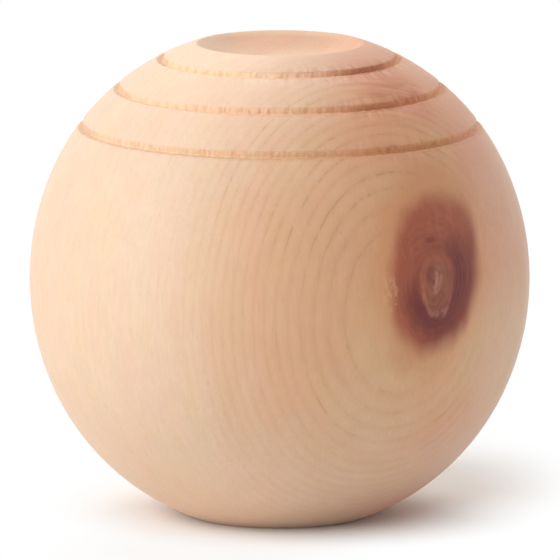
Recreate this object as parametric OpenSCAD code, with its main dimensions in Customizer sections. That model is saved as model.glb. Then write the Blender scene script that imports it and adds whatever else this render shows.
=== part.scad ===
// A ball turned from one block of stone pine.
// It stands on a small flat, carries three V grooves round its upper half,
// and has a shallow dish on top that takes a few drops of scented oil.
// The outline is three arcs that run into each other: a wide belly arc and a
// tighter shoulder arc above and below it, so the ball is a little fuller at
// its shoulders than a true sphere.

/* [Ball] */
// Diameter across the belly
ball_d = 80; // [60:1:100]
// How far the belly arc's centre lies beyond the axis
belly_reach = 2.8; // [0.5:0.1:4]
// Angle above and below the belly where the shoulder arcs begin
shoulder_angle = 25; // [15:1:30]
// How much smaller the upper shoulder's radius is than the belly arc's
upper_tighten = 5.3; // [2:0.1:7]
// How much smaller the lower shoulder's radius is than the belly arc's
lower_tighten = 3.5; // [2:0.1:7]

/* [Base] */
// Diameter of the flat under the ball, measured before its edge is eased
base_d = 29.2; // [18:0.2:36]
// Radius that eases the edge of the flat
base_ease = 0.5; // [0.2:0.1:1.2]

/* [Oil dish] */
// Diameter of the dish's mouth, measured before its rim is eased
dish_d = 26.6; // [18:0.2:32]
// Depth of the dish below its mouth
dish_depth = 5; // [2.5:0.1:7]
// Radius that eases the rim
rim_ease = 0.5; // [0.2:0.1:1.2]

/* [Grooves] */
// Number of grooves
groove_count = 3; // [1:1:3]
// Angle above the belly at which the lowest groove is cut
groove_angle = 37.2; // [32:0.1:42]
// Angle from one groove to the next
groove_step = 12.9; // [8:0.1:14]
// Width of a groove between its lips
groove_w = 1.6; // [0.8:0.1:2.4]
// Depth of a groove
groove_depth = 0.7; // [0.3:0.1:1.2]
// Width of the narrow floor of a groove
groove_floor_w = 0.2; // [0.1:0.1:0.5]

/* [Hidden] */
$fn = 144;

// The outline is drawn about the belly's centre, with the axis at x = 0.
ball_r = ball_d / 2;
base_r = base_d / 2;
dish_r = dish_d / 2;

// Arcs: each has a radius and a centre. A shoulder's centre lies on the belly
// arc's own radius at shoulder_angle, so the two arcs meet without a corner.
belly_arc_r = ball_r + belly_reach;
belly_centre = [-belly_reach, 0];
upper_arc_r = belly_arc_r - upper_tighten;
upper_centre = belly_centre + upper_tighten * [cos(shoulder_angle), sin(shoulder_angle)];
lower_arc_r = belly_arc_r - lower_tighten;
lower_centre = belly_centre + lower_tighten * [cos(shoulder_angle), -sin(shoulder_angle)];

// The base plane is where the lower arc is as wide as the flat. The mouth of
// the dish is where the upper arc is as wide as the mouth.
base_z = lower_centre.y - sqrt(lower_arc_r ^ 2 - (base_r - lower_centre.x) ^ 2);
rim_z = upper_centre.y + sqrt(upper_arc_r ^ 2 - (dish_r - upper_centre.x) ^ 2);

// The dish is part of a sphere as wide as the mouth and as deep as asked.
dish_arc_r = (dish_r ^ 2 + dish_depth ^ 2) / (2 * dish_depth);
dish_centre = [0, rim_z - dish_depth + dish_arc_r];

// Centre of the circle that eases the base's edge: it touches the base plane
// and the lower arc from inside.
base_ease_z = base_z + base_ease;
base_ease_reach = sqrt((lower_arc_r - base_ease) ^ 2 - (base_ease_z - lower_centre.y) ^ 2);
base_ease_centre = [lower_centre.x + base_ease_reach, base_ease_z];

// Centre of the circle that eases the rim: it touches the upper arc from
// inside and the dish from outside.
rim_ease_centre = crossing(upper_centre, upper_arc_r - rim_ease, dish_centre, dish_arc_r + rim_ease);

function unit(v) = v / norm(v);

// Where a line from one centre through another leaves the circle about the first
function touch(centre, r, through) = centre + r * unit(through - centre);

// The crossing of two circles that lies on the right of the line from c1 to c2
function crossing(c1, r1, c2, r2) =
    let (gap = norm(c2 - c1))
    let (along = (gap ^ 2 + r1 ^ 2 - r2 ^ 2) / (2 * gap))
    let (aside = sqrt(r1 ^ 2 - along ^ 2))
    let (way = unit(c2 - c1))
    c1 + along * way + aside * [way.y, -way.x];

// One shoulder's circle, seen from the belly arc's centre
module shoulder(angle, tighten) {
    rotate(angle)
        translate([tighten, 0])
            circle(belly_arc_r - tighten);
}

// The slice of the belly's circle between the two shoulders
module belly() {
    intersection() {
        circle(belly_arc_r);
        rotate(shoulder_angle) translate([0, -ball_d]) square([ball_d, ball_d]);
        rotate(-shoulder_angle) square([ball_d, ball_d]);
    }
}

// Half of the ball's section, before anything is cut into it
module full_outline() {
    intersection() {
        translate(belly_centre) {
            belly();
            shoulder(shoulder_angle, upper_tighten);
            shoulder(-shoulder_angle, lower_tighten);
        }
        translate([0, base_z]) square([ball_d, rim_z - base_z]);
    }
}

// One groove, seen in section, cut square to the upper arc at its angle. Its
// flanks run on past the surface, so that the lips are clean.
module groove(angle) {
    flank = (groove_w - groove_floor_w) / 2 / groove_depth;
    out_w = groove_w + 2 * flank * groove_depth;
    translate(upper_centre)
        rotate(angle)
            translate([upper_arc_r, 0])
                polygon([
                    [groove_depth, -out_w / 2],
                    [groove_depth, out_w / 2],
                    [-groove_depth, groove_floor_w / 2],
                    [-groove_depth, -groove_floor_w / 2],
                ]);
}

// Takes the corner beyond the line from a to b off its children, and puts the
// easing circle in its place.
module eased(centre, r, a, b) {
    out = r * unit((a + b) / 2 - centre);
    difference() {
        children();
        polygon([a, b, b + out, a + out]);
    }
    translate(centre) circle(r);
}

module section() {
    rim_out = touch(upper_centre, upper_arc_r, rim_ease_centre);
    rim_in = touch(dish_centre, dish_arc_r, rim_ease_centre);
    base_out = touch(lower_centre, lower_arc_r, base_ease_centre);
    base_in = [base_ease_centre.x, base_z];
    eased(base_ease_centre, base_ease, base_in, base_out)
        eased(rim_ease_centre, rim_ease, rim_in, rim_out)
            difference() {
                full_outline();
                translate(dish_centre) circle(dish_arc_r);
                for (i = [0 : groove_count - 1]) groove(groove_angle + i * groove_step);
            }
}

// The ball stands on its flat, with the origin at the flat's centre.
module ball() {
    color([0.87, 0.72, 0.57])
        translate([0, 0, -base_z])
            rotate_extrude() section();
}

ball();
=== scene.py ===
# %% [markdown]
# # A ball of stone pine that holds scented oil
# The real thing is one block of stone pine, turned on a lathe to a ball as big as an orange.
# It stands on a small flat, has three V grooves round its upper half and a shallow dish on
# top for a few drops of oil. Nothing is painted on it: the wood is the whole decoration.
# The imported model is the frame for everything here. It gives the true size and place, so
# this script only has to turn a finer ball inside that box and give it the look of the wood.

# %% Load the frame
import math

import bmesh
import bpy
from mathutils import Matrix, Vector, noise


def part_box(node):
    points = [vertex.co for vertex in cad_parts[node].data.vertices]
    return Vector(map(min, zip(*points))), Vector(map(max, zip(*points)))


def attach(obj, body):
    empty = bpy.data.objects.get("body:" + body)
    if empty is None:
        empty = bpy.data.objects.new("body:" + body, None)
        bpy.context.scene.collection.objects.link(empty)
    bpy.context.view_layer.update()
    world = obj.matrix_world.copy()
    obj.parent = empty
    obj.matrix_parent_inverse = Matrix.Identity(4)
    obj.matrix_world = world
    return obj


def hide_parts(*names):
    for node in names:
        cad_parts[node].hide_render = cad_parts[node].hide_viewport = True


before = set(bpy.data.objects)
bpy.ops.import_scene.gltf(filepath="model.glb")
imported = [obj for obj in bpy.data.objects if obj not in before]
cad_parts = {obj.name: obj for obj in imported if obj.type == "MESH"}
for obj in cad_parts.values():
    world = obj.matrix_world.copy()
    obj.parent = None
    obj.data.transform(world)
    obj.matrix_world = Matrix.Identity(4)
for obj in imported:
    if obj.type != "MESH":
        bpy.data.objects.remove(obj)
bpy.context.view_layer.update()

MM = 0.001
ball_low, ball_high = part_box("ball")
ball_r = (ball_high.x - ball_low.x) / 2

# %% [markdown]
# ## The outline of the ball
# A turner checks a ball with a card cut to half of its outline, and the mesh starts from
# the same line. It is not a plain circle: a wide belly arc runs into a tighter shoulder arc
# above and below it, without a corner. The dish is an arc too, and the grooves are
# straight cuts with a narrow floor.
#
# One way would be to squash a sphere, but then nothing would sit at a known size. Here a
# single vertex is carried round each arc's own centre with the spin operator, and along
# each straight bit by extruding it. That gives a clean wire, with points only where the
# shape needs them.

# %% Sizes of the outline
belly_reach = 2.8 * MM
shoulder_angle = math.radians(25)
upper_tighten = 5.3 * MM
lower_tighten = 3.5 * MM
base_r = 14.6 * MM
dish_r = 13.3 * MM
dish_depth = 5 * MM
groove_count = 3
groove_angle = math.radians(37.2)
groove_step = math.radians(12.9)
groove_w = 1.6 * MM
groove_depth = 0.7 * MM
groove_floor_w = 0.2 * MM

# %% Work out the arcs
belly_arc_r = ball_r + belly_reach
upper_arc_r = belly_arc_r - upper_tighten
lower_arc_r = belly_arc_r - lower_tighten
upper_x = upper_tighten * math.cos(shoulder_angle) - belly_reach
lower_x = lower_tighten * math.cos(shoulder_angle) - belly_reach
upper_rise = upper_tighten * math.sin(shoulder_angle)
lower_drop = lower_tighten * math.sin(shoulder_angle)
belly_z = lower_drop + math.sqrt(lower_arc_r ** 2 - (base_r - lower_x) ** 2)

belly_centre = Vector((-belly_reach, 0, belly_z))
upper_centre = Vector((upper_x, 0, belly_z + upper_rise))
lower_centre = Vector((lower_x, 0, belly_z - lower_drop))
rim_angle = math.acos((dish_r - upper_x) / upper_arc_r)
rim_z = upper_centre.z + upper_arc_r * math.sin(rim_angle)
base_angle = math.acos((base_r - lower_x) / lower_arc_r)
dish_arc_r = (dish_r ** 2 + dish_depth ** 2) / (2 * dish_depth)
dish_centre = Vector((0, 0, rim_z - dish_depth + dish_arc_r))
print("belly %.2f mm and rim %.2f mm above the table" % (belly_z / MM, rim_z / MM))

# %% Two ways to carry the line on
ball_mesh = bmesh.new()


def carry_round(end, centre, sweep, steps):
    """Carry the wire on from its end, round a centre, and give its new end."""
    made = bmesh.ops.spin(
        ball_mesh, geom=[end], cent=centre, axis=(0, 1, 0),
        angle=sweep, steps=steps, use_merge=False, use_duplicate=False)
    return made["geom_last"][0]


def carry_to(end, goal, steps):
    """Carry the wire straight on to a point, in even steps, and give its new end."""
    start = end.co.copy()
    for step in range(1, steps + 1):
        end = bmesh.ops.extrude_vert_indiv(ball_mesh, verts=[end])["verts"][0]
        end.co = start.lerp(goal, step / steps)
    return end


# %% [markdown]
# ## One groove
# The tool went in square to the surface, so a groove is laid out from the shoulder's
# centre: its lips lie on the arc, and its floor lies deeper on the same radius.

# %% Draw a groove into the wire
half_lip_angle = math.asin(groove_w / 2 / upper_arc_r)
upper_wall_steps = 4
lower_wall_steps = 3


def off_shoulder(angle, depth=0.0, up=0.0):
    """A point of the section, measured from the upper arc at an angle."""
    out = Vector((math.cos(angle), 0, math.sin(angle)))
    along = Vector((-math.sin(angle), 0, math.cos(angle)))
    return upper_centre + (upper_arc_r - depth) * out + up * along


def cut_groove(lip, angle):
    """Carry the wire down into a groove and out again, and give its corners."""
    half_floor = groove_floor_w / 2
    floor_top = carry_to(lip, off_shoulder(angle, groove_depth, half_floor), upper_wall_steps)
    floor_low = carry_to(floor_top, off_shoulder(angle, groove_depth, -half_floor), 1)
    low_lip = carry_to(floor_low, off_shoulder(angle - half_lip_angle), lower_wall_steps)
    return [lip, floor_top, floor_low, low_lip]


# %% Draw the whole outline, from the dish down to the base
dish_steps = 12
shoulder_steps = 3
belly_steps = 14
underside_steps = 13
base_steps = 4

end = ball_mesh.verts.new((0, 0, dish_centre.z - dish_arc_r))
end = carry_round(end, dish_centre, -math.asin(dish_r / dish_arc_r), dish_steps)
rim_corner = end
reached = rim_angle
groove_corners = []
for index in reversed(range(groove_count)):
    angle = groove_angle + index * groove_step
    end = carry_round(end, upper_centre, reached - (angle + half_lip_angle), shoulder_steps)
    corners = cut_groove(end, angle)
    groove_corners += corners
    end = corners[-1]
    reached = angle - half_lip_angle
end = carry_round(end, upper_centre, reached - shoulder_angle, shoulder_steps)
end = carry_round(end, belly_centre, 2 * shoulder_angle, belly_steps)
end = carry_round(end, lower_centre, base_angle - shoulder_angle, underside_steps)
base_corner = end
carry_to(end, Vector((0, 0, 0)), base_steps)
print("outline of", len(ball_mesh.verts), "points")

# %% [markdown]
# ## Eased edges
# No edge on turned wood is perfectly sharp, and a knife edge would catch no light. A bevel
# of the outline's corners, before it is turned, rounds every edge of the ball at once: the
# rim and the base more, because fingers and the table wear them, and the grooves hardly.

# %% Ease the corners
rim_ease = 0.28 * MM
base_ease = 0.1 * MM
lip_ease = 0.045 * MM


def ease(corners, reach, segments):
    """Round corners of the wire off."""
    bmesh.ops.bevel(
        ball_mesh, geom=corners, offset=reach, offset_type="OFFSET", segments=segments,
        profile=0.5, affect="VERTICES", material=-1, clamp_overlap=True)


ease([rim_corner], rim_ease, segments=4)
ease([base_corner], base_ease, segments=2)
ease(groove_corners, lip_ease, segments=2)
print("eased outline of", len(ball_mesh.verts), "points")

# %% [markdown]
# ## Turning
# The lathe is a full spin of the wire round the Z axis. The spin operator slows down as the
# mesh grows, so the wire is first spun through one narrow wedge, and the wedge is then
# repeated all the way round with the same operator. The wedges meet on shared lines and
# their tips on the axis, so merging what lies on one spot closes every seam and both
# poles. The normals are worked out again after that, because a spin can face either way.

# %% Spin the outline to a ball
wedge_count = 30
wedge_steps = 30
wedge_angle = 2 * math.pi / wedge_count
same_spot = 0.001 * MM


def turn(steps, angle, duplicate):
    """Spin all there is round the Z axis, as a skin or as copies."""
    bmesh.ops.spin(
        ball_mesh, geom=ball_mesh.verts[:] + ball_mesh.edges[:] + ball_mesh.faces[:],
        cent=(0, 0, 0), axis=(0, 0, 1), angle=angle, steps=steps,
        use_merge=False, use_duplicate=duplicate)


turn(wedge_steps, wedge_angle, False)
turn(wedge_count - 1, 2 * math.pi - wedge_angle, True)
bmesh.ops.remove_doubles(ball_mesh, verts=ball_mesh.verts[:], dist=same_spot)
bmesh.ops.recalc_face_normals(ball_mesh, faces=ball_mesh.faces[:])
open_edges = sum(not edge.is_manifold for edge in ball_mesh.edges)
print("turned ball:", len(ball_mesh.verts), "vertices,", len(ball_mesh.faces), "faces,",
      open_edges, "open edges, volume %.0f mm3" % (ball_mesh.calc_volume() / MM ** 3))

# %% [markdown]
# ## Torn fibres in the grooves
# The grain of this block runs upright, so the point of the tool cut straight across it. It
# lifted fibres out of the walls of the grooves instead of shaving them, and chipped the
# lips a little. The ball's skin was sanded smooth afterwards, but nobody sands a groove.
# The vertices of the walls are pushed in and out by a noise that changes fast round the
# ball and hardly at all up and down, as fibres do. The noise is the same on every run.

# %% Roughen the groove walls
tear_width = 0.55 * MM
tear_height = 3.0 * MM
tear_reach = 0.16 * MM
chip_reach = 0.03 * MM
rim_margin = 0.5 * MM
least_share = 0.01
finer, finer_strength = 2.1, 0.5


def groove_share(place):
    """0 on the sanded skin, and up to 1 on the floor of a groove."""
    out = math.hypot(place.x, place.y)
    if out < dish_r + rim_margin or place.z < upper_centre.z:
        return 0.0
    depth = upper_arc_r - math.hypot(out - upper_centre.x, place.z - upper_centre.z)
    return min(1.0, max(0.0, depth / groove_depth))


torn = 0
for vertex in ball_mesh.verts:
    share = groove_share(vertex.co)
    if share > least_share:
        x, y, z = vertex.co
        fibre = Vector((x / tear_width, y / tear_width, z / tear_height))
        rough = noise.noise(fibre) + finer_strength * noise.noise(finer * fibre)
        # A tear is deepest halfway down a wall, and shallow again near the floor.
        reach = chip_reach + (tear_reach - chip_reach) * math.sin(math.pi * min(share, 0.9))
        vertex.co -= vertex.normal * reach * rough
        torn += 1
print(torn, "vertices in the grooves moved")

# %% Make the ball an object
mesh = bpy.data.meshes.new("turned_ball")
ball_mesh.to_mesh(mesh)
ball_mesh.free()
mesh.shade_smooth()
ball = bpy.data.objects.new("turned_ball", mesh)
bpy.context.scene.collection.objects.link(ball)
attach(ball, "root")
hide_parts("ball")
print(ball.name, "stands where the packed ball stands")

# %% [markdown]
# ## Wood as a solid
# A plank texture wrapped round a ball always shows a seam and bends the grain the wrong way.
# Real wood is a solid: the rings are nested tubes round the heart of the trunk, and the
# lathe only lays them bare. So every colour here is worked out from the place of a point in
# the block, in mm, and the surface cuts through it. The top, the back and the base
# then show the right grain without any extra work.
#
# A material like that needs a lot of nodes, and helpers keep them short to write. One adds
# any node, four do sums, three go softly from one value to another, and one mixes colours.

# %% Helpers for nodes
wood = bpy.data.materials.new("stone_pine")
wood.use_nodes = True
nodes = wood.node_tree.nodes
links = wood.node_tree.links
skin = nodes["Principled BSDF"]


def put(kind, inputs, **settings):
    """Add one shader node, link or set its inputs, and give the node back."""
    made = nodes.new("ShaderNode" + kind)
    for name, value in settings.items():
        setattr(made, name, value)
    for name, value in inputs.items():
        if isinstance(value, bpy.types.NodeSocket):
            links.new(value, made.inputs[name])
        else:
            made.inputs[name].default_value = value
    return made


def maths(operation, *terms):
    """One sum with numbers."""
    return put("Math", dict(enumerate(terms)), operation=operation).outputs[0]


def vector(operation, *terms, result="Vector"):
    """One sum with places and ways."""
    return put("VectorMath", dict(enumerate(terms)), operation=operation).outputs[result]


# %% Helpers for shares and colours


def times(*terms):
    """Multiply any number of terms."""
    total = terms[0]
    for term in terms[1:]:
        total = maths("MULTIPLY", total, term)
    return total


def plus(*terms):
    """Add any number of terms."""
    total = terms[0]
    for term in terms[1:]:
        total = maths("ADD", total, term)
    return total


def ramp(value, low, high, at_low=0.0, at_high=1.0):
    """Go softly from one value to another while something rises from low to high."""
    inputs = {"Value": value, "From Min": low, "From Max": high, "To Min": at_low, "To Max": at_high}
    return put("MapRange", inputs, interpolation_type="SMOOTHSTEP").outputs["Result"]


def fall(value, low, high, at_high=0.0):
    """Go softly down from 1 while something rises from low to high."""
    return ramp(value, low, high, 1.0, at_high)


def between(value, low, full, fading, high):
    """Rise softly from 0 to 1, stay there, and go softly down to 0 again."""
    return times(ramp(value, low, full), fall(value, fading, high))


def mix(share, colour, other, way="MIX"):
    """Mix two colours, given as colour triples or as sockets."""
    pair = [c if isinstance(c, bpy.types.NodeSocket) else (*c, 1) for c in (colour, other)]
    made = put("Mix", {0: share, 6: pair[0], 7: pair[1]}, data_type="RGBA", blend_type=way)
    return made.outputs[2]


# %% [markdown]
# ## Places and fibres
# Every pattern starts from where a point lies in the block: so many mm to the right, to the
# back and up. The trunk stood nearly upright, as the ball does, so up is also along the fibres.
#
# Two noises are used all the time. One makes patches with a width and a height, because all
# that grows in wood is drawn out along the trunk. The other lets a measure sway to and fro,
# because nothing that grows keeps to a straight line.

# %% Find a point in the block


def place_in_mm():
    """The place of the point that is being coloured, in mm."""
    spot = put("TexCoord", {}).outputs["Object"]
    return put("Mapping", {"Vector": spot, "Scale": (1 / MM, 1 / MM, 1 / MM)}).outputs[0]


place = place_in_mm()
ways = put("SeparateXYZ", {0: place}).outputs
to_right, to_back, up = ways["X"], ways["Y"], ways["Z"]
above_belly = maths("SUBTRACT", up, belly_z / MM)


def grain(width, height, detail=2.0, shift=0.0):
    """Noise in patches of a width across the trunk and a height along it, in mm."""
    spread = put("Mapping", {"Vector": place, "Location": (shift, shift, shift),
                             "Scale": (1 / width, 1 / width, 1 / height)})
    inputs = {"Vector": spread.outputs[0], "Scale": 1.0, "Detail": detail, "Roughness": 0.55}
    return put("TexNoise", inputs).outputs["Fac"]


def sway(reach, width, height, shift):
    """A noise that goes from minus reach to plus reach, in mm."""
    return maths("MULTIPLY_ADD", grain(width, height, 1.0, shift), 4 * reach, -2 * reach)


# %% [markdown]
# ## Growth rings
# The block was sawn beside the heart of the trunk, so the heart line stands outside the
# ball, in front and to the right, and leans a little. The distance from that line is how far
# the tree had grown. This tree gained about the same share of its girth each year, so the
# rings get wider outwards and the count of years goes with the logarithm of the distance.

# %% Count the years
heart_point = (59.05, -100.6, belly_z / MM)
heart_way = (0.033, 0.031, 1)
years_per_log = 65.22
first_ring = 78.0
first_season = 0.30
late_line = 0.95


def from_line(point, way):
    """Distance in mm from a straight line through a point."""
    unit = Vector(way).normalized()
    across = vector("CROSS_PRODUCT", vector("SUBTRACT", place, point), unit)
    return vector("LENGTH", across, result="Value")


grown = plus(from_line(heart_point, heart_way), sway(0.08, 9, 30, 3), sway(0.05, 2.2, 7, 11))

years = maths("LOGARITHM", maths("DIVIDE", grown, first_ring), math.e)
years = plus(times(years, years_per_log), first_season + late_line)
season = maths("FRACT", years)
this_year = maths("FLOOR", years)

heart_away = math.hypot(heart_point[0], heart_point[1])
crossed = (heart_away + ball_r / MM) / (heart_away - ball_r / MM)
print("the ball cuts through about %d years" % (years_per_log * math.log(crossed)))

# %% [markdown]
# Each year starts with wide pale cells and turns softly darker towards its end. In stone
# pine the late wood is faint: a thin line that breaks up into dashes, with a soft band on
# both sides. No two years are alike, so a random number for each year sets how strong its
# line is. Those numbers come from a seed that was picked out of several thousand, because
# it puts the strong years where they are on the real ball. Another seed gives another tree.

# %% Draw the late wood
year_seed = 1095
faintest_year = 0.15
late_starts, late_full = 0.80, 0.93
strength = put("TexWhiteNoise", {"W": maths("ADD", this_year, year_seed)}, noise_dimensions="1D")
strength = maths("MULTIPLY_ADD", strength.outputs["Value"], 1 - faintest_year, faintest_year)
near_line = maths("MULTIPLY_ADD", maths("FRACT", plus(season, 1 - late_line)), 2, -1)
late_band = ramp(maths("ABSOLUTE", near_line), 0.1, 1.0)
line = between(season, late_starts, late_full, late_line, 1.0)
dashes = ramp(grain(1.1, 3.5, 3.0, 5), 0.40, 0.58, 0.10, 1.0)
stronger_spots = ramp(grain(6, 18, 1.0, 7), 0.35, 0.65, 0.35, 1.0)
late_wood = times(line, dashes, stronger_spots, strength)

# %% [markdown]
# ## Sapwood and heartwood
# The outer wood of the trunk is a pale cream, and towards the heart it turns to a warm tan.
# The pale cream is partly painted light: much of it lies on the brightly lit left side, where
# strong light washes the colour out. Well below the branch the sapwood reaches further in.

# %% Colour the clear wood
heartwood = (0.690, 0.396, 0.221)
# Partly painted glare: the pale cream is paler and less saturated than the wood alone.
sapwood_and_glare = (0.748, 0.548, 0.400)
heartwood_ends = 74
sapwood_starts = 108
branch_height = belly_z / MM + 5.9
sapwood_creep = 0.01

rise = maths("SUBTRACT", up, branch_height)
below_branch = maths("MINIMUM", rise, 0.0)
ripeness = plus(grown, times(below_branch, below_branch, sapwood_creep), sway(1.2, 7, 30, 17))
colour = mix(ramp(ripeness, heartwood_ends, sapwood_starts), heartwood, sapwood_and_glare)

# %% [markdown]
# Soft rosy and straw-yellow bands follow the rings, so their noise is laid along them: short
# across the rings and long up the trunk. Mottles and blotches are patches of plain noise.
# These tones are multiplied in, so that they tint the wood and keep what is under them.

# %% Tint the clear wood
rosy_tone = (1.01, 0.98, 0.988)
straw_tone = (0.994, 1.006, 0.972)
mottle_tone = (0.982, 0.972, 0.975)
blotch_tone = (1.0, 0.985, 0.955)


def ring_noise(across, along, detail=2.0):
    """Noise that follows the rings, with so many patches in a mm across them and up."""
    lie = put("CombineXYZ", {"X": times(grown, across), "Y": times(up, along)}).outputs[0]
    return put("TexNoise", {"Vector": lie, "Scale": 1.0, "Detail": detail}).outputs["Fac"]


banding = ring_noise(0.28, 0.05)
mottle = grain(2.6, 5.0, 3.0, 29)
blotch = grain(4.0, 7.0, 2.0, 127)
colour = mix(ramp(banding, 0.47, 0.62), colour, rosy_tone, "MULTIPLY")
colour = mix(fall(banding, 0.38, 0.53), colour, straw_tone, "MULTIPLY")
colour = mix(ramp(mottle, 0.42, 0.58), colour, mottle_tone, "MULTIPLY")
colour = mix(ramp(blotch, 0.45, 0.60), colour, blotch_tone, "MULTIPLY")
print("clear wood made of", len(nodes), "nodes")

# %% [markdown]
# ## The knot
# A knot is a branch that the trunk grew round. Its own small rings show as nested ovals, taller
# than wide, because the fibres of the trunk part above and below it. This one is soaked
# with resin: a red-brown body, a dark purple-brown ring low on its right, and a paler middle.
#
# The knot is measured in its own frame: across, along the trunk, and into the block along
# the branch. It fades out deep in the block, where the branch ended.

# %% Measure from the knot
knot_place = (25.5, -30.3, branch_height)
branch_way = Vector((-0.428, 0.904, 0))
fading_depth = 16
last_depth = 26

knot_side = branch_way.cross(Vector((0, 0, 1)))
from_knot = vector("SUBTRACT", place, knot_place)
aside = vector("DOT_PRODUCT", from_knot, knot_side, result="Value")
inward = vector("DOT_PRODUCT", from_knot, branch_way, result="Value")
depth_fade = fall(inward, fading_depth, last_depth)

# %% [markdown]
# All that belongs to the knot is an oval. It is measured as a share of the oval's half width
# and half height, so its edge is always at 1. A little noise keeps the edge from being
# perfect. The usual sum of squares gives an ellipse, and a power above 2 a fuller shape.

# %% Measure from an oval on the knot


def oval_sides(middle, half_w, half_h, lean=0.0, rough=0.0, shift=0.0):
    """How far across and up an oval a point lies, where 1 is its edge."""
    side = plus(aside, times(rise, -lean), lean * middle[1] - middle[0])
    tall = plus(rise, -middle[1])
    if rough:
        side = plus(side, sway(rough, 3.5, 7, shift))
        tall = plus(tall, sway(1.3 * rough, 4, 7, shift + 3))
    return maths("DIVIDE", side, half_w), maths("DIVIDE", tall, half_h)


def joined(sides, fullness=2.0):
    """One distance from two. A fullness above 2 fills the corners of the oval out."""
    powers = [maths("POWER", maths("ABSOLUTE", side), fullness) for side in sides]
    return maths("POWER", plus(*powers), 1 / fullness)


def oval(middle, half_w, half_h, lean=0.0, rough=0.0, shift=0.0, fullness=2.0):
    """Distance from the middle of an oval on the knot, where 1 is its edge."""
    return joined(oval_sides(middle, half_w, half_h, lean, rough, shift), fullness)


# %% Lay out the body, the dark ring and the core
edge = oval((-0.8, -0.1), half_w=8.5, half_h=11.9, lean=0.085, rough=0.45, shift=41, fullness=2.5)
edge = plus(edge, times(ramp(aside, 0, 4), fall(rise, -8, -3), 0.05))
ring_sides = oval_sides((-1.4, -0.8), half_w=4.7, half_h=6.2, lean=0.05, rough=0.45, shift=47)
ring = joined(ring_sides)
core = oval((-0.8, -1.5), half_w=2.5, half_h=4.4, lean=0.03, rough=0.6, shift=61, fullness=2.5)

ring_wide, ring_high = ring_sides
low_right = plus(times(ring_wide, 0.6), times(ring_high, -1.0))
ring_room = ramp(low_right, -0.95, 0.20, 0.12, 1.0)
dark_ring = times(between(plus(ring, times(ring_wide, -0.12)), 0.62, 0.84, 1.0, 1.80), ring_room)
gap = between(core, 0.85, 1.15, 1.25, 2.0)

# %% Colour the body, the dark ring and the core
left_tone = (0.400, 0.106, 0.048)
right_tone = (0.280, 0.050, 0.024)
ring_tone = (0.172, 0.020, 0.014)
core_tone = (0.285, 0.090, 0.050)
gap_strength = 0.25

to_low_right = plus(times(aside, 0.10), times(rise, -0.07))
core_grain = ramp(grain(0.9, 2.2, 3.0, 137), 0.36, 0.56, 0.55, 1.0)
knot = mix(ramp(to_low_right, -0.35, 0.75), left_tone, right_tone)
knot = mix(times(gap, gap_strength), knot, ring_tone)
knot = mix(dark_ring, knot, ring_tone)
knot = mix(times(fall(core, 0.70, 1.15), core_grain), knot, core_tone)

# %% [markdown]
# The years of the branch show as fine rings that wander a little and come and go. The core
# has a pale middle and a thin pale crescent along its lower left side. Two small pits are
# dark: one beside the pale middle, and one above the core.

# %% Draw the fine rings of the branch
shade_tone = (0.80, 0.70, 0.68)
knot_grain_tone = (0.90, 0.86, 0.84)
ring_pace = 34
ring_wander = 10
fine_strength = 0.6

fine_wave = maths("SINE", plus(times(ring, ring_pace), times(grain(1.5, 3, 2.0, 53), ring_wander)))
fine_rings = times(ramp(fine_wave, -0.8, 0.9), ramp(ring, 0.10, 0.6, 0.35, 1.0),
                   fall(ring, 1.1, 1.9, 0.15), ramp(grain(2.5, 4, 1.0, 107), 0.40, 0.60, 0.3, 1.0))
knot = mix(times(fine_rings, fine_strength), knot, shade_tone, "MULTIPLY")
knot = mix(ramp(grain(1.4, 3.0, 3.0, 109), 0.40, 0.60), knot, knot_grain_tone, "MULTIPLY")

# %% Colour the pale middle and the pits
pale_tone = (0.47, 0.205, 0.14)
crescent_strength = 0.5
pale_strength = 0.85
high_pit_strength = 0.6
heart_pit_strength = 0.7

crescent = times(between(core, 0.86, 1.05, 1.08, 1.30), fall(rise, -4.5, 0.5, 0.1),
                 fall(aside, 0.4, 2.0, 0.4), ramp(grain(0.8, 1.2, 2.0, 139), 0.40, 0.55, 0.25, 1.0))
pale = oval((-1.2, -1.0), half_w=1.5, half_h=2.6, lean=0.05, rough=0.5, shift=59)
pale = times(fall(pale, 0.5, 1.1), ramp(grain(1.1, 1.8, 2.0, 57), 0.34, 0.50))
high_pit = fall(oval((-1.6, 5.2), half_w=0.9, half_h=0.55, rough=0.35, shift=67), 0.6, 1.3)
heart_pit = oval((-2.2, -0.2), half_w=0.8, half_h=1.6, lean=0.05, rough=0.35, shift=163)
heart_pit = fall(heart_pit, 0.4, 1.5)
knot = mix(times(crescent, crescent_strength), knot, pale_tone)
knot = mix(times(pale, pale_strength), knot, pale_tone)
knot = mix(times(high_pit, high_pit_strength), knot, ring_tone)
knot = mix(times(heart_pit, heart_pit_strength), knot, ring_tone)
print("with the knot", len(nodes), "nodes")

# %% [markdown]
# ## Soft patches
# Resin, sap and pressure from the branch tint the wood near the knot: it is clearer low on
# the left, darker just under the knot and pinker near the foot. Cooler and paler on the
# right edge is painted reflection of the white room. The patches are ovals on the knot's
# frame, and like the knot they end inside the block, or they would run right through it
# and come out at the back.

# %% Tint the patches beside the knot
clear_tone = (1.0, 1.09, 1.15)
# Painted reflection: the right edge cooler and paler, as if the white room shone in it.
right_edge_reflection_tone = (1.0, 1.07, 1.13)
under_tone = (0.92, 0.86, 0.88)
low_pink_tone = (1.0, 0.92, 0.94)


def patch(middle, half_w, half_h, shift, full=0.2, gone=1.3):
    """A soft oval patch beside the knot: 1 in its middle, and gone outside it."""
    spot = oval(middle, half_w, half_h, rough=0.5, shift=shift)
    return times(fall(spot, full, gone), depth_fade)


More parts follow.
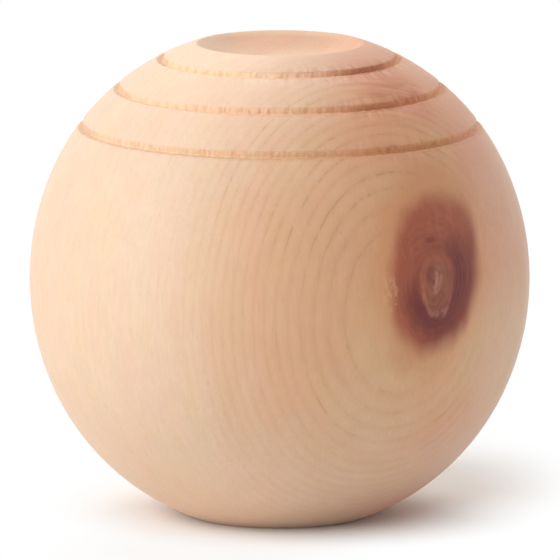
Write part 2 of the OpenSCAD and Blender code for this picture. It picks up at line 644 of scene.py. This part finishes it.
for share, tone in [
        (patch((-11.5, -17.0), half_w=10, half_h=12, shift=131), clear_tone),
        # painted reflection on the right edge
        (patch((13, -11.5), half_w=15, half_h=10, shift=151, full=0.3), right_edge_reflection_tone),
        (patch((-6.0, -11.5), half_w=4.5, half_h=4.5, shift=167), under_tone),
        (patch((6, -29), half_w=10, half_h=8, shift=157, full=0.3, gone=1.4), low_pink_tone)]:
    colour = mix(share, colour, tone, "MULTIPLY")

# %% [markdown]
# Other tints go with the rings or with the height. The last heartwood is a little darker, and
# a straw-brown patch lies high on the front. An orange bloom of resin spreads up on the
# right, with pinker wood below it, and the crown is browner on the right. Low on the right,
# next to the table, the ball is darker and browner: that is painted shade.

# %% Tint the wood further out
heart_edge_tone = (0.985, 0.945, 0.91)
straw_patch_tone = (0.985, 0.955, 0.94)
bloom_tone = (0.975, 0.74, 0.65)
pink_tone = (0.99, 0.89, 0.95)
crown_tone = (0.94, 0.88, 0.86)
# Painted shade: darker and browner low on the right, where the ball meets the table.
low_right_shade_tone = (0.92, 0.68, 0.65)

heart_edge = times(between(grown, 89, 92, 93, 96.5), between(above_belly, -26, -14, 0, 12))
straw_patch = times(between(above_belly, 1, 11, 14, 22), between(to_right, -16, -5, 12, 20),
                    fall(to_back, -20, 0))
bloom = times(ramp(to_right, 1, 17), ramp(above_belly, 17, 31), fall(to_back, 2, 16))
pink = times(ramp(aside, 5, 8), between(above_belly, -6, 8, 22, 30), depth_fade)
crown = times(ramp(above_belly, 34.2, 36.2), ramp(to_right, -7, 3))
# painted shade low on the right, in front
low_right_shade = times(fall(above_belly, -36.5, -27), ramp(to_right, 4, 20), fall(to_back, 0, 12))

for share, tone in [(heart_edge, heart_edge_tone), (straw_patch, straw_patch_tone),
                    (bloom, bloom_tone), (pink, pink_tone),
                    (crown, crown_tone), (low_right_shade, low_right_shade_tone)]:
    colour = mix(share, colour, tone, "MULTIPLY")

# %% [markdown]
# ## Lines and knot on the wood
# The ring lines are clearest in the heartwood on the near side. They fade in the sapwood,
# to the right of the knot and low down, and come back faintly on the far side. They stop
# before they meet the knot, where the fibres bend round it, and so they go on first.

# %% Lay the ring lines on the wood
band_tone = (0.960, 0.938, 0.915)
line_tone = (0.865, 0.80, 0.73)

in_heartwood = fall(grown, 93, 101, 0.22)
at_back = ramp(to_back, 8, 24, 0.0, 0.45)
after_first = ramp(grown, 76.8, 79.2, 0.35, 1.0)
beside_knot = times(fall(aside, 5, 11, 0.12), ramp(edge, 1.1, 1.6))
above_foot = ramp(above_belly, -24, -4, 0.65, 1.0)
uneven = ramp(grain(5, 12, 1.0, 113), 0.38, 0.60, 0.55, 1.0)
line_room = times(plus(in_heartwood, at_back), after_first, beside_knot, above_foot, uneven)
line_gain = times(ramp(above_belly, 4, 24, 1.0, 2.1), ramp(grown, 80, 96, 1.4, 0.9))
colour = mix(times(late_band, line_room), colour, band_tone, "MULTIPLY")
colour = mix(times(late_wood, line_room, line_gain), colour, line_tone, "MULTIPLY")

# %% [markdown]
# Resin has crept out of the knot too: a warm rim lies along its left side, and an orange halo
# all round it. A few pale flecks of filled bark lie on its left edge.

# %% Lay the knot on the wood
rim_tone = (0.985, 0.93, 0.85)
halo_tone = (0.60, 0.25, 0.11)
halo_low, halo_high = 0.45, 0.62
speck_tone = (0.74, 0.42, 0.28)
speck_strength = 0.3

in_knot = times(fall(edge, 0.84, 1.17), depth_fade)
rim = times(fall(edge, 1.0, 2.1), fall(aside, -5, 4), ramp(rise, -14, -2),
            fall(rise, 12, 20, 0.2), depth_fade)
halo = oval((-1.2, 1.0), half_w=9.0, half_h=14.0, lean=0.095, rough=0.6, shift=43)
halo = times(fall(halo, 0.95, 1.45), depth_fade, ramp(rise, 2, 13, halo_low, halo_high))
speck = oval((-9.6, -2.2), half_w=1.5, half_h=3.2, rough=0.4, shift=73)
speck = times(fall(speck, 0.5, 1.1), ramp(grain(0.7, 1.1, 2.0, 79), 0.50, 0.60), depth_fade)
colour = mix(rim, colour, rim_tone, "MULTIPLY")
colour = mix(halo, colour, halo_tone)
colour = mix(in_knot, colour, knot)
colour = mix(times(speck, speck_strength), colour, speck_tone)

# %% [markdown]
# ## Red streaks above the knot
# High on the right, resin from the same branch ran up between the rings and left soft
# curved streaks between the two upper grooves. They run along the rings, so they use the
# noise that follows them. A darker tongue, drawn out sideways, lies over them.

# %% Colour the streaks
streak_place = (17.8, -15.5, belly_z / MM + 32.5)
streak_tone = (0.60, 0.245, 0.145)
streak_strength = 0.85
from_streak = vector("DISTANCE", place, streak_place, result="Value")
streaks = times(fall(from_streak, 2, 11), ramp(ring_noise(0.9, 0.22), 0.38, 0.54, 0.30, 1.0))
colour = mix(times(streaks, streak_strength), colour, streak_tone)

tongue_place = (18.4, -16.0, belly_z / MM + 32.4)
tongue_squeeze = (0.25, 0.25, 1)
tongue_tone = (0.53, 0.205, 0.10)
from_tongue = vector("MULTIPLY", vector("SUBTRACT", place, tongue_place), tongue_squeeze)
from_tongue = vector("LENGTH", from_tongue, result="Value")
tongue = times(fall(from_tongue, 0.7, 2.3), ramp(ring_noise(0.7, 0.9, 3.0), 0.44, 0.56, 0.15, 1.0))
colour = mix(times(tongue, streak_strength), colour, tongue_tone)

# %% [markdown]
# ## Dust in the open pores, and painted light
# Near the top and the base the lathe cut across the fibres. Dust from the sanding stays in
# their open ends, and the wood looks paler there. That paling is partly painted light too:
# it stands in for more light on the top and for light thrown up from the paper on the base.
# The fibres themselves differ a little from one to the next, and a few wider resin canals
# show as short dark dashes.

# %% Colour the fibres
# Partly painted light: paler near the top and the base on the near side.
dust_and_light_tone = (1.12, 1.10, 1.09)
fibre_tone = (0.97, 0.962, 0.95)
canal_tone = (0.90, 0.83, 0.76)
canal_strength = 0.5

# dust and painted light near the top and the base
end_grain_and_light = times(ramp(maths("ABSOLUTE", above_belly), 19, 38),
                  fall(to_right, -6, 10, 0.1), ramp(to_right, -27, -13, 0.45, 1.0))
fibre_spots = ramp(grain(0.35, 4, 2.0, 97), 0.35, 0.65)
canals = times(ramp(grain(0.32, 1.5, 1.0, 101), 0.66, 0.76), canal_strength)
for share, tone in [(end_grain_and_light, dust_and_light_tone), (fibre_spots, fibre_tone), (canals, canal_tone)]:
    colour = mix(share, colour, tone, "MULTIPLY")

# %% [markdown]
# ## The dish
# Drops of oil have soaked into the open end grain of the dish. Its far wall, the only one that
# can be seen from the front, is a warmer orange for it. Towards the right the far wall is
# painted darker and cooler: that is painted shade.

# %% Colour the dish
oiled_tone = (0.965, 0.86, 0.82)
# Painted shade on the right of the dish's far wall.
dish_shade_tone = (0.93, 0.95, 0.99)
dish_reach = dish_r / MM

off_axis = vector("LENGTH", vector("MULTIPLY", place, (1, 1, 0)), result="Value")
in_dish = times(fall(off_axis, dish_reach - 1.2, dish_reach - 0.4), ramp(above_belly, 22, 26))
far_side = times(in_dish, ramp(to_back, 5, 11.5))
colour = mix(far_side, colour, oiled_tone, "MULTIPLY")
colour = mix(times(far_side, ramp(to_right, -1, 8)), colour, dish_shade_tone, "MULTIPLY")

# %% [markdown]
# ## The grooves
# Torn fibres stand up in the grooves. The upper wall, which faces outwards, is painted paler
# than the skin: painted light that lifts the deep shade of the cut. The lower wall, which
# faces up, is painted darker and more ochre: painted shade. Near the branch the cut wood is
# soaked with resin, and both walls are darker and browner.
#
# The groove is found by its depth below the shoulder's arc, which stays sharp at the lips
# however coarse the mesh is. The angle about the arc's centre tells one wall from the other.

# %% Find the grooves
arc_out = maths("SUBTRACT", off_axis, upper_centre.x / MM)
arc_up = maths("SUBTRACT", up, upper_centre.z / MM)
arc_reach = maths("SQRT", plus(times(arc_out, arc_out), times(arc_up, arc_up)))
cut_depth = plus(maths("SUBTRACT", upper_arc_r / MM, arc_reach), sway(0.04, 0.5, 3, 103))
outside_dish = times(ramp(off_axis, dish_reach + 0.7, dish_reach + 0.9), ramp(arc_up, 8.0, 9.0))
in_groove = times(ramp(cut_depth, 0.05, 0.20), outside_dish)

turned = plus(maths("ARCTAN2", arc_up, arc_out), 0.5 * groove_step - groove_angle)
from_floor = plus(maths("FRACT", times(turned, 1 / groove_step)), -0.5)
from_floor = times(from_floor, groove_step * upper_arc_r / MM)
low_wall = fall(from_floor, -0.25, 0.02)

# %% [markdown]
# The tones of the walls are shares of the skin's colour beside them, so the rings and the
# resin run on through a groove. They change round the ball: paler and weaker on the brightly
# lit left, which is painted glare; darker at the far left, where the grooves turn out of
# sight, which is painted shade; dusty in front on the top groove, and brown on the right of
# the lowest one.

# %% Find what changes round the ball
resin_foot = (15.8, -26.5, belly_z / MM + 24)
resin_way = (-2.0, 13.5, 11.0)
resin = times(fall(from_line(resin_foot, resin_way), 1.5, 7.5), ramp(above_belly, 26, 28))
high_resin = times(resin, ramp(above_belly, 32, 35))
brown = times(between(to_right, 9, 20, 25, 28.5), fall(above_belly, 26, 28))
dusted = times(ramp(above_belly, 31.5, 33.5), between(to_right, -12, 0, 8.5, 12))
turned_right = maths("DIVIDE", to_right, off_axis)
# Painted glare: on the brightly lit left the wall tones are paler and weaker.
out_of_glare = ramp(turned_right, -0.86, -0.5, 0.3, 1.0)
# Painted shade at the far left, where the grooves turn out of sight.
left_end_shade = fall(turned_right, -0.97, -0.90)

# %% Colour the walls
# Painted light on the outer wall, painted shade on the lower wall; the left pair of each also stands
# in for glare.
outer_lit_in_glare, outer_lit, resin_outer = (1.09, 1.08, 1.05), (1.08, 1.06, 1.01), (0.90, 0.83, 0.74)
low_shaded_in_glare, low_shaded, resin_low_shaded = (1.03, 1.03, 1.00), (0.99, 0.98, 0.92), (0.76, 0.70, 0.61)
high_resin_tone = (0.93, 0.84, 0.80)
dusted_tone = (1.08, 1.12, 1.16)
# painted shade for the far left ends of the grooves
left_end_shade_tone = (0.91, 0.87, 0.83)
brown_tone = (0.89, 0.86, 0.79)
torn_dark, torn_light = (0.93, 0.90, 0.85), (1.05, 1.04, 1.03)

outer_wall_lit = mix(resin, mix(out_of_glare, outer_lit_in_glare, outer_lit), resin_outer)
lower_wall_shaded = mix(resin, mix(out_of_glare, low_shaded_in_glare, low_shaded), resin_low_shaded)
groove_tone = mix(low_wall, outer_wall_lit, lower_wall_shaded)
for share, tone in [(high_resin, high_resin_tone), (dusted, dusted_tone),
                    (left_end_shade, left_end_shade_tone), (brown, brown_tone)]:
    groove_tone = mix(share, groove_tone, tone, "MULTIPLY")
tears = mix(ramp(grain(0.9, 3.0, 3.0, 71), 0.38, 0.62), torn_dark, torn_light)
colour = mix(in_groove, colour, groove_tone, "MULTIPLY")
colour = mix(in_groove, colour, tears, "MULTIPLY")

# %% [markdown]
# Below each groove a fuzz of torn fibres lies on the sanded skin and darkens it in a thin
# line, most of all where there is resin.

# %% Colour the fuzz below the grooves
fuzz_tone = (0.96, 0.91, 0.87)
resin_fuzz_tone = (0.74, 0.64, 0.56)

fuzz = times(between(from_floor, -1.35, -0.75, -0.75, -0.55), outside_dish,
             ramp(above_belly, 19, 21), ramp(turned_right, -0.7, -0.2))
colour = mix(fuzz, colour, mix(resin, fuzz_tone, resin_fuzz_tone), "MULTIPLY")
print("with the grooves", len(nodes), "nodes")

# %% [markdown]
# ## Sheen and relief
# Sanded pine with no varnish is matt. The knot is harder and takes a faint shine,
# and the torn grooves have none. The relief is tiny: fibres, late wood that stands a
# hair proud, and deeper tears in the grooves.

# %% Raise the relief
fibre_relief = 0.006
line_relief = 0.006
tear_relief = 0.06
knot_relief = 0.02

fibre = grain(0.35, 5, 3.0, 83)
height = plus(times(fibre, fibre_relief), times(late_wood, line_room, line_relief),
              times(in_groove, grain(0.45, 2.2, 3.0, 89), tear_relief),
              times(in_knot, fine_rings, knot_relief))
relief = put("Bump", {"Height": height, "Strength": 1.0, "Distance": MM})

# %% Finish the skin
skin_rough = ramp(fibre, 0.3, 0.7, 0.58, 0.68)
groove_rougher = 0.2
knot_smoother = 0.14

rough = plus(skin_rough, times(in_groove, groove_rougher), times(in_knot, -knot_smoother))
skin.inputs["Specular IOR Level"].default_value = 0.5
skin.inputs["Sheen Weight"].default_value = 0.12
skin.inputs["Sheen Roughness"].default_value = 0.35
links.new(colour, skin.inputs["Base Color"])
links.new(rough, skin.inputs["Roughness"])
links.new(relief.outputs[0], skin.inputs["Normal"])
mesh.materials.append(wood)
print("wood made of", len(nodes), "nodes")

# %% [markdown]
# ## The table
# A sheet of white paper runs on behind the ball with no edge in sight. Close to the ball it
# takes the light and the ball's soft shadow as any paper does. Further out it turns to
# plain white for the camera only: the light that it throws back on the ball stays the same.

# %% Lay the floor
floor_reach = 6
floor_mesh = bpy.data.meshes.new("floor")
floor_build = bmesh.new()
bmesh.ops.create_grid(floor_build, x_segments=1, y_segments=1, size=floor_reach)
floor_build.to_mesh(floor_mesh)
floor_build.free()
floor = bpy.data.objects.new("floor", floor_mesh)
bpy.context.scene.collection.objects.link(floor)
print("floor %d m wide" % (2 * floor_reach))

# %% Make the paper
paper_tone = (0.87, 0.84, 0.81, 1)
paper = bpy.data.materials.new("paper")
paper.use_nodes = True
nodes = paper.node_tree.nodes
links = paper.node_tree.links
paper_skin = nodes["Principled BSDF"]
paper_skin.inputs["Base Color"].default_value = paper_tone
paper_skin.inputs["Roughness"].default_value = 1.0


def seen_directly():
    """1 for rays that show the picture, its mirror images and what glass shows."""
    path = put("LightPath", {}).outputs
    seen = maths("MAXIMUM", path["Is Camera Ray"], path["Is Glossy Ray"])
    return maths("MAXIMUM", seen, path["Is Transmission Ray"])


# %% [markdown]
# The shadow is not round: it runs out behind the ball, a little to one side, and hardly comes
# forward. So the place where the paper turns white is measured in a frame of its own, which
# is turned with the shadow and drawn out at the back. A faint shade lies in front too.

# %% Measure from the shadow
shadow_middle = (1.5, 6, 0)
shadow_turn = math.radians(20)
shadow_stretch = 1.8
shadow_squeeze = 0.94
white_from = 41

from_shadow = vector("SUBTRACT", place_in_mm(), shadow_middle)
turned_shadow = put("Mapping", {"Vector": from_shadow, "Rotation": (0, 0, shadow_turn)}).outputs[0]
sides = put("SeparateXYZ", {0: turned_shadow}).outputs
sideways, backwards = sides["X"], sides["Y"]
across = maths("MAXIMUM", times(sideways, shadow_squeeze), times(sideways, -1.0))
behind = times(maths("MAXIMUM", backwards, 0.0), 1 / shadow_stretch)
before = maths("MINIMUM", backwards, 0.0)
shadow_out = maths("SQRT", plus(times(across, across), times(behind, behind), times(before, before)))

# %% Turn the paper white away from the shadow
front_shade = 0.22

fade_from = ramp(backwards, 4, 24, 18, 24)
fade = ramp(shadow_out, fade_from, white_from)
in_front = times(fall(maths("ABSOLUTE", sideways), 8, 28), between(backwards, -75, -42, -28, -14))
fade = times(fade, maths("MULTIPLY_ADD", in_front, -front_shade, 1.0))
white_share = times(fade, seen_directly())
white = put("Emission", {"Color": (1, 1, 1, 1), "Strength": 1.0}).outputs[0]
blend = put("MixShader", {0: white_share, 1: paper_skin.outputs[0], 2: white}).outputs[0]
links.new(blend, nodes["Material Output"].inputs["Surface"])
floor_mesh.materials.append(paper)
print("paper made of", len(nodes), "nodes")

# %% [markdown]
# ## The camera
# A ball has no front, so what shows is settled by where the camera stands. A long lens from
# two metres away keeps the outline nearly as true as a drawing. The camera looks a
# little down, just enough to see into the dish, and the ball fills most of the picture.

# %% Stand the camera
camera_rise = math.radians(9.87)
camera_away = 2.0
picture_width = 2.240 * ball_r
aim_right = 0.06 * MM
aim_below = 0.46 * MM

forward = Vector((0, math.cos(camera_rise), -math.sin(camera_rise)))
upward = Vector((0, math.sin(camera_rise), math.cos(camera_rise)))
aim = Vector((aim_right, 0, belly_z)) - aim_below * upward
camera_data = bpy.data.cameras.new("camera")
camera_data.sensor_width = 36
camera_data.lens = camera_data.sensor_width * camera_away / picture_width
camera_data.clip_end = 10
camera = bpy.data.objects.new("camera", camera_data)
camera.location = aim - camera_away * forward
camera.rotation_euler = forward.to_track_quat("-Z", "Y").to_euler()
bpy.context.scene.collection.objects.link(camera)
bpy.context.scene.camera = camera
print("lens %.0f mm" % camera_data.lens)

# %% [markdown]
# ## The light
# A white room gives light from everywhere, and four large soft lamps shape the ball: the
# key stands high on the left, a second one low on the left front, one behind lights the
# top and the far side of the table, and a faint one lifts the dark edge on the right. Large
# lamps give the soft edge of shade that suits matt wood. The room looks plain white
# wherever it shows.

# %% Light the room
bpy.context.scene.view_settings.view_transform = "Standard"
world = bpy.data.worlds.new("studio")
bpy.context.scene.world = world
world.use_nodes = True
nodes = world.node_tree.nodes
links = world.node_tree.links
room_light = 0.63
room_strength = maths("MULTIPLY_ADD", seen_directly(), 1 - room_light, room_light)
nodes["Background"].inputs["Color"].default_value = (1, 1, 1, 1)
links.new(room_strength, nodes["Background"].inputs["Strength"])
print("room light %.2f" % room_light)

# %% Set up the lamps
lamp_away = 1.3
lamp_width = 0.7


def softbox(name, turned, raised, power):
    """A round lamp that looks at the ball from a side (degrees) and a height (degrees)."""
    data = bpy.data.lights.new(name, "AREA")
    data.shape = "DISK"
    data.size = lamp_width
    data.energy = power
    side = math.radians(turned)
    lift = math.radians(raised)
    flat = math.cos(lift)
    way = Vector((math.sin(side) * flat, -math.cos(side) * flat, math.sin(lift)))
    lamp = bpy.data.objects.new(name, data)
    lamp.location = Vector((0, 0, belly_z)) + lamp_away * way
    lamp.rotation_euler = way.to_track_quat("Z", "Y").to_euler()
    bpy.context.scene.collection.objects.link(lamp)
    print(name, "lamp: %.1f W at" % power, [round(part, 2) for part in lamp.location])


softbox("key", -75, 35, 7.6)
softbox("low_key", -55, 15, 3.5)
softbox("back", 180, 50, 4.6)
softbox("rim", 110, 0, 0.5)
